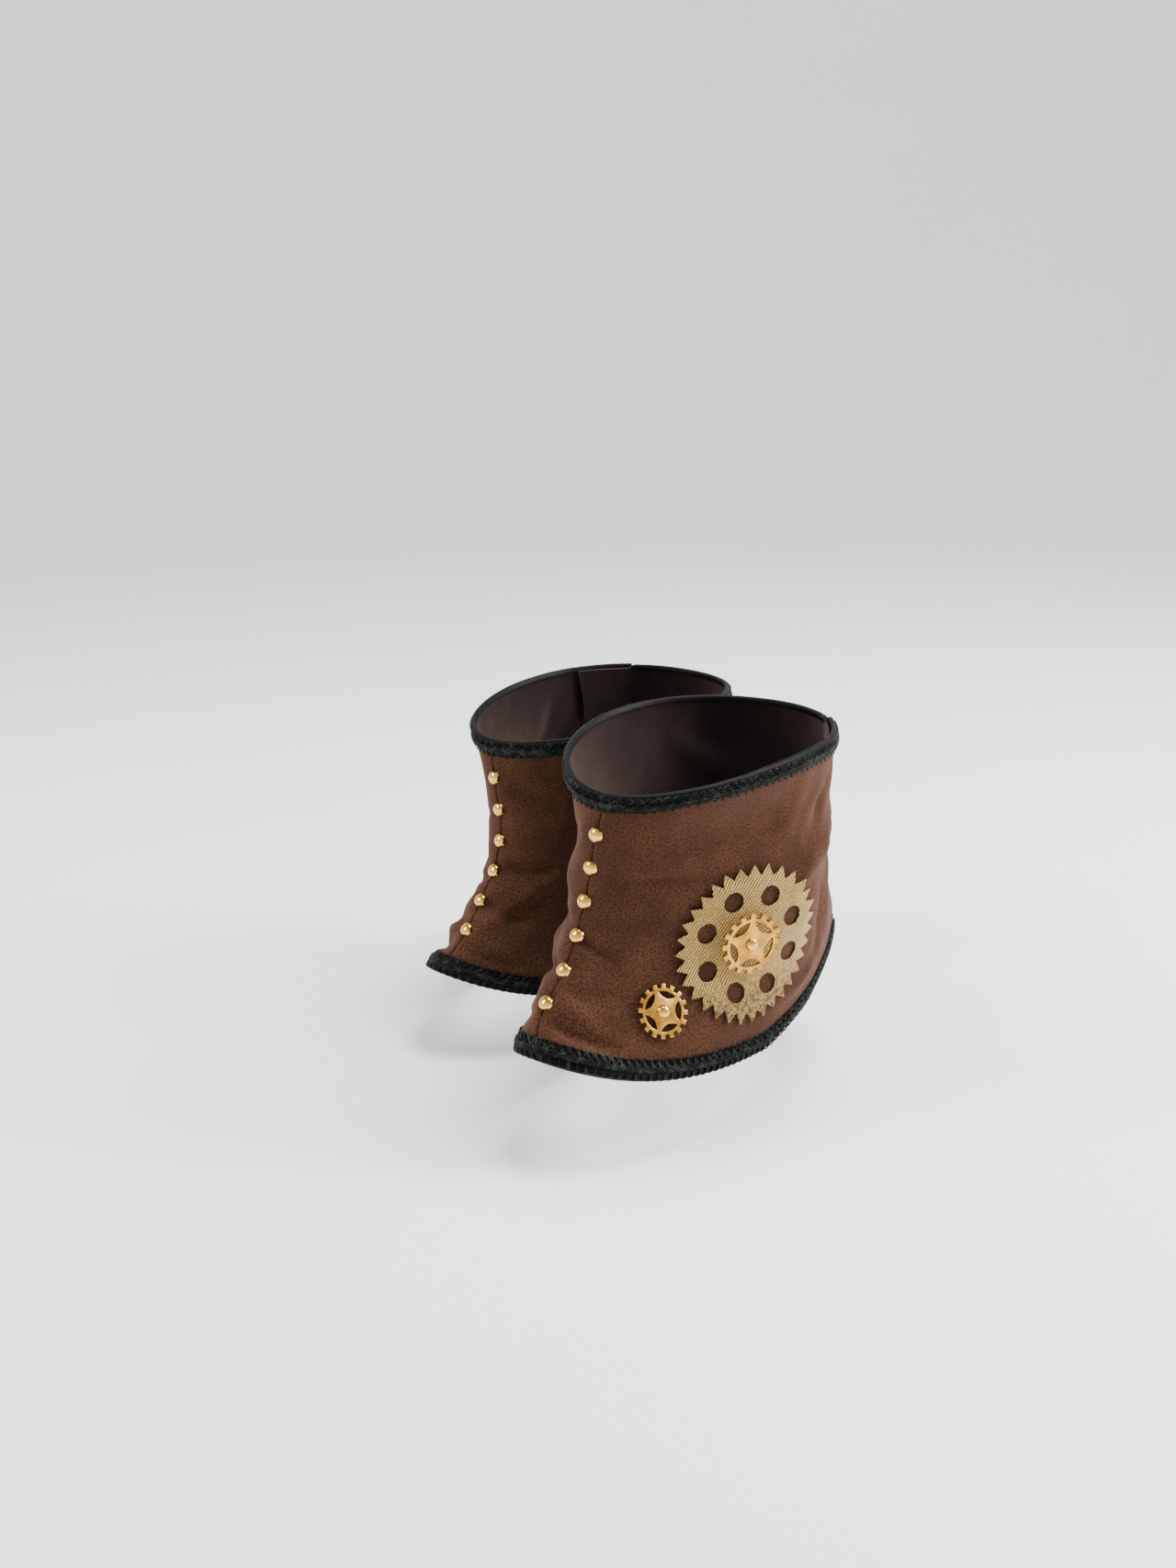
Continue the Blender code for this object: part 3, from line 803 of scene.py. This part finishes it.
def mesh_cloth_finish():
    lame = Finish("gold_mesh")
    cut = lame.node("ShaderNodeUVMap", {"uv_map": "cut"})
    threads = []
    for direction, pitch in (((0.82, 0.57, 0.0), 0.00135), ((-0.57, 0.82, 0.0), 0.0011)):
        across = lame.node("ShaderNodeVectorMath", {"operation": "DOT_PRODUCT"},
                           {0: cut, 1: direction}, output=1)
        threads.append(lame.node("ShaderNodeMath", {"operation": "SINE"},
                                 {0: across * (2 * math.pi / pitch)}))
    uneven = lame.noise(cut, 190.0, 3.0, 0.6)
    weave = threads[0] * 0.44 + threads[1] * 0.20 + uneven * 0.4 + 0.28
    foil = lame.noise(cut, 1400.0, 2.0, 0.7)
    crushed = lame.noise(cut, 420.0, 3.0, 0.7)
    up = lame.node("ShaderNodeSeparateXYZ", {}, {0: cut}, output=1)
    rubbed = lame.between(-0.008, -0.030, up)
    lit = weave * (1 - rubbed * 0.7) + lame.between(0.40, 0.64, foil) * rubbed * 0.7
    shade = lame.between(0.10, 0.74, lit)
    gold = lame.mixed(shade, (0.050, 0.028, 0.008, 1), (0.61, 0.39, 0.105, 1))
    tone = lame.between(0.35, 0.7, crushed, 0.0, 0.35)
    toned = lame.mixed(tone, gold, (0.33, 0.205, 0.060, 1))
    # Darker patches over the crushed lower part of the gear.
    dark_crushed_patches = lame.between(0.46, 0.58, crushed) * rubbed * 0.85
    lame.drive("Base Color", lame.mixed(dark_crushed_patches, toned, (0.060, 0.033, 0.009, 1)))
    lame.drive("Metallic", shade * 0.5 + 0.3)
    lame.drive("Roughness", lame.between(0.2, 0.8, foil, 0.28, 0.50))
    lame.bump(lit * 0.8 + crushed * rubbed * 4.0 + foil * 0.3, 0.9, 0.0011)
    return lame.material


def mesh_gear(name, side, node, material):
    holes = []
    for middle in ring(HOLE_RING, HOLES, HOLE_TURN):
        holes.append(ring(HOLE_RADIUS, 24, 0.3, middle))
    tips = ring(GEAR_RADIUS, GEAR_TEETH)
    roots = ring(GEAR_ROOT, GEAR_TEETH, math.pi / GEAR_TEETH)
    bm = plate([p for pair in zip(tips, roots) for p in pair], holes, LONGEST_EDGE)
    cut = bm.loops.layers.uv.new("cut")
    back = bmesh.ops.extrude_face_region(bm, geom=bm.faces[:], use_keep_orig=True)
    backs = {v for v in back["geom"] if isinstance(v, bmesh.types.BMVert)}
    for vert in bm.verts:
        a, b = vert.co.x, vert.co.y
        for loop in vert.link_loops:
            loop[cut].uv = (a * MM, b * MM)
        out_there = (math.hypot(a, b) / GEAR_RADIUS) ** 3
        lean = math.cos(math.atan2(b, a) - LEAN_TO)
        ripple = noise.noise(Vector((a / 9, b / 9, 2.0 + side)))
        rim = RIM_LIFT + RIM_LEAN * lean + RIM_RIPPLE * (ripple + 0.3)
        lift = max(REST_GAP + out_there * rim, LEAST_GAP)
        turn, share = beside_gear(round(a, 4), round(b, 4))
        vert.co = worn(turn, share, lift + (0.0 if vert in backs else MESH_THICK), side)
    return finished(name, bm, side, material, node, smooth_angle=50)


mesh_cloth = mesh_cloth_finish()
for name, side in SIDES.items():
    mesh_gear(f"{name}_mesh_gear", side, f"{name}_fabric_gear", mesh_cloth)


# Stiff gears. Two gold gears with sixteen square teeth and five openings, stamped from
# sheet, each held by a dome stud through its middle: one on the mesh gear, one before it.

HUB_AT, HUB_RADIUS = (1.5, 1.5), 14.8
SMALL_AT, SMALL_RADIUS = (47.5, -23.5), 12.3
COG_THICK = 1.5
COG_LIFT = 0.6
COG_TEETH, COG_OPENINGS = 16, 5
HUB_LIFT = 2.65                 # the mesh gear lies under the hub gear
GEAR_STUD_RADIUS, GEAR_STUD_TALL = 3.1, 2.4
COG_ROOT = 0.84                 # root circle over the gear's radius
TOOTH_TIP, TOOTH_FOOT = 0.22, 0.27   # half widths of a tooth over its pitch
COG_CORNER = 0.22


def brass_finish():
    brass = Finish("stamped_gold", Metallic=1.0)
    where = brass.node("ShaderNodeTexCoord", {}, {}, output=3)
    grain = brass.noise(where, 1500.0, 3.0, 0.6)
    tone = brass.noise(where, 160.0, 2.0, 0.5)
    brass.drive("Base Color", brass.mixed(brass.between(0.35, 0.68, tone),
                                          (0.37, 0.170, 0.025, 1), (0.60, 0.32, 0.060, 1)))
    brass.drive("Roughness", brass.between(0.3, 0.7, grain, 0.24, 0.38))
    brass.bump(grain, 0.12, 0.0003)
    return brass.material


def cog_outline(radius):
    points = []
    pitch = 2 * math.pi / COG_TEETH
    root = COG_ROOT * radius
    for k in range(COG_TEETH):
        for reach, part in ((root, -TOOTH_FOOT), (radius, -TOOTH_TIP),
                            (radius, TOOTH_TIP), (root, TOOTH_FOOT)):
            angle = (k + part) * pitch
            points.append((reach * math.cos(angle), reach * math.sin(angle)))
        angle = (k + 0.5) * pitch
        points.append((root * math.cos(angle), root * math.sin(angle)))
    return points


def cog_opening(radius, middle_angle):
    """One full lens: a long arc beside the rim and a rounder one towards the middle."""
    far, near, half = 0.74 * radius, 0.49 * radius, 0.50
    points = []
    for k in range(9):
        angle = middle_angle - half + 2 * half * k / 8
        points.append((far * math.cos(angle), far * math.sin(angle)))
    for k in range(1, 12):
        part = math.cos(math.pi * k / 12)
        reach = far - (far - near) * (1 - part * part) ** 0.55
        angle = middle_angle + half * part
        points.append((reach * math.cos(angle), reach * math.sin(angle)))
    return points


def stamped_gear(radius):
    pitch = 2 * math.pi / COG_OPENINGS
    holes = [cog_opening(radius, math.pi / 2 + k * pitch) for k in range(COG_OPENINGS)]
    bm = plate(cog_outline(radius), holes)
    bmesh.ops.recalc_face_normals(bm, faces=bm.faces)
    top = bmesh.ops.extrude_face_region(bm, geom=bm.faces[:], use_keep_orig=True)
    raised = [v for v in top["geom"] if isinstance(v, bmesh.types.BMVert)]
    bmesh.ops.translate(bm, verts=raised, vec=(0, 0, COG_THICK))
    bmesh.ops.recalc_face_normals(bm, faces=bm.faces)
    corners = [e for e in bm.edges if len(e.link_faces) == 2
               and e.calc_face_angle(0.0) > math.radians(60)
               and abs(e.verts[0].co.z - e.verts[1].co.z) < 0.01]
    bmesh.ops.bevel(bm, geom=corners, offset=COG_CORNER, offset_type="OFFSET", affect="EDGES",
                    segments=2, profile=0.5, material=-1, clamp_overlap=True)
    return bm


def cog_seat(place, radius, lift):
    """Where a stiff gear rests: square to the form, on the highest cloth under it."""
    turn, share = beside_gear(*place)
    out = form_at(turn, share)[1]

    def on_form(a, b):
        at = beside_gear(round(a, 4), round(b, 4))
        point, way = form_at(*at)
        return point + way * lap_lift(at[0])

    flat_place = on_form(*place)
    under = ring(radius, 16, 0.0, place) + ring(radius / 2, 8, 0.0, place)
    highest = max((on_form(a, b) - flat_place).dot(out) for a, b in under)
    return flat_place + out * (max(highest, 0.0) + lift), out


brass = brass_finish()
for name, side in SIDES.items():
    for part, at, radius, lift in (("hub_gear", HUB_AT, HUB_RADIUS, HUB_LIFT),
                                   ("small_gear", SMALL_AT, SMALL_RADIUS, COG_LIFT)):
        middle, out = cog_seat(at, radius, lift)
        seat = standing(middle, out, Vector((1, 0, 0)))
        bm = stamped_gear(radius)
        bmesh.ops.transform(bm, matrix=seat, verts=bm.verts)
        finished(f"{name}_stamped_{part}", bm, side, brass, f"{name}_{part}",
                 smooth_angle=30)
        bm = domed_stud(GEAR_STUD_RADIUS, GEAR_STUD_TALL, COG_THICK + lift + 0.8)
        top = standing(middle + out * (COG_THICK + 0.08), out, Vector((1, 0, 0)))
        bmesh.ops.transform(bm, matrix=top, verts=bm.verts)
        finished(f"{name}_{part}_dome", bm, side, stud_gold,
                 f"{name}_{part}_stud", smooth_angle=50)


# The studio: a plain pale floor under soft lights, seen from the outer front of the left
# spat. The floor is where the soles of the boots would stand.

FLOOR_Z = -0.115
paper = Finish("pale_paper", Roughness=0.9, Specular_IOR_Level=0.1)
where = paper.node("ShaderNodeTexCoord", {}, {}, output=3)
paper.drive("Base Color", paper.mixed(paper.noise(where, 6.0, 2.0), (0.86, 0.86, 0.855, 1),
                                      (0.89, 0.89, 0.885, 1)))
COVE_RADIUS, COVE_BEND, COVE_TALL = 2.6, 0.9, 2.4
profile = [(0.0, 0.0), (COVE_RADIUS - COVE_BEND, 0.0)]
for k in range(1, 13):
    angle = math.pi / 2 * k / 12
    profile.append((COVE_RADIUS - COVE_BEND * (1 - math.sin(angle)),
                    COVE_BEND * (1 - math.cos(angle))))
profile.append((COVE_RADIUS, COVE_TALL))
bm = bmesh.new()
verts = [bm.verts.new((r, 0.0, FLOOR_Z + h)) for r, h in profile]
edges = [bm.edges.new(pair) for pair in zip(verts, verts[1:])]
bmesh.ops.spin(bm, geom=verts + edges, axis=(0, 0, 1), cent=(0, 0, 0), steps=96,
               angle=2 * math.pi, use_merge=True, use_duplicate=False)
bmesh.ops.remove_doubles(bm, verts=bm.verts, dist=0.0001)
bmesh.ops.recalc_face_normals(bm, faces=bm.faces)
mesh = bpy.data.meshes.new("floor")
bm.to_mesh(mesh)
bm.free()
mesh.shade_smooth()
mesh.materials.append(paper.material)
floor = bpy.data.objects.new("floor", mesh)
bpy.context.scene.collection.objects.link(floor)

world = bpy.data.worlds.new("studio")
world.use_nodes = True
world.node_tree.nodes["Background"].inputs["Color"].default_value = (0.95, 0.96, 1.0, 1)
world.node_tree.nodes["Background"].inputs["Strength"].default_value = 0.6
bpy.context.scene.world = world


def soft_light(name, place, aim, wide, tall, power, colour):
    light = bpy.data.lights.new(name, "AREA")
    light.shape = "RECTANGLE"
    light.size, light.size_y = wide, tall
    light.energy = power
    light.color = colour
    holder = bpy.data.objects.new(name, light)
    holder.location = place
    holder.rotation_euler = (Vector(aim) - Vector(place)).to_track_quat("-Z", "Y").to_euler()
    bpy.context.scene.collection.objects.link(holder)


MIDDLE = (-0.05, 0.02, 0.0)
soft_light("left_softbox", (-0.75, -1.05, 0.85), MIDDLE, 0.5, 0.8, 20.0, (1.0, 0.99, 0.97))
soft_light("right_softbox", (0.95, 0.85, 0.80), MIDDLE, 0.5, 0.8, 46.0, (1.0, 0.98, 0.96))
soft_light("top_softbox", (0.10, 0.25, 1.35), MIDDLE, 0.6, 0.6, 32.0, (1.0, 1.0, 1.0))

camera_data = bpy.data.cameras.new("camera")
camera_data.sensor_fit = "HORIZONTAL"
camera_data.sensor_width = 36.0
camera_data.lens = 55.27
camera_data.clip_start = 0.01
camera = bpy.data.objects.new("camera", camera_data)
camera.location = (0.4997, -0.6380, 0.2756)
target = Vector((-0.10276, 0.04052, 0.00577))
camera.rotation_euler = (target - camera.location).to_track_quat("-Z", "Y").to_euler()
bpy.context.scene.collection.objects.link(camera)
bpy.context.scene.camera = camera
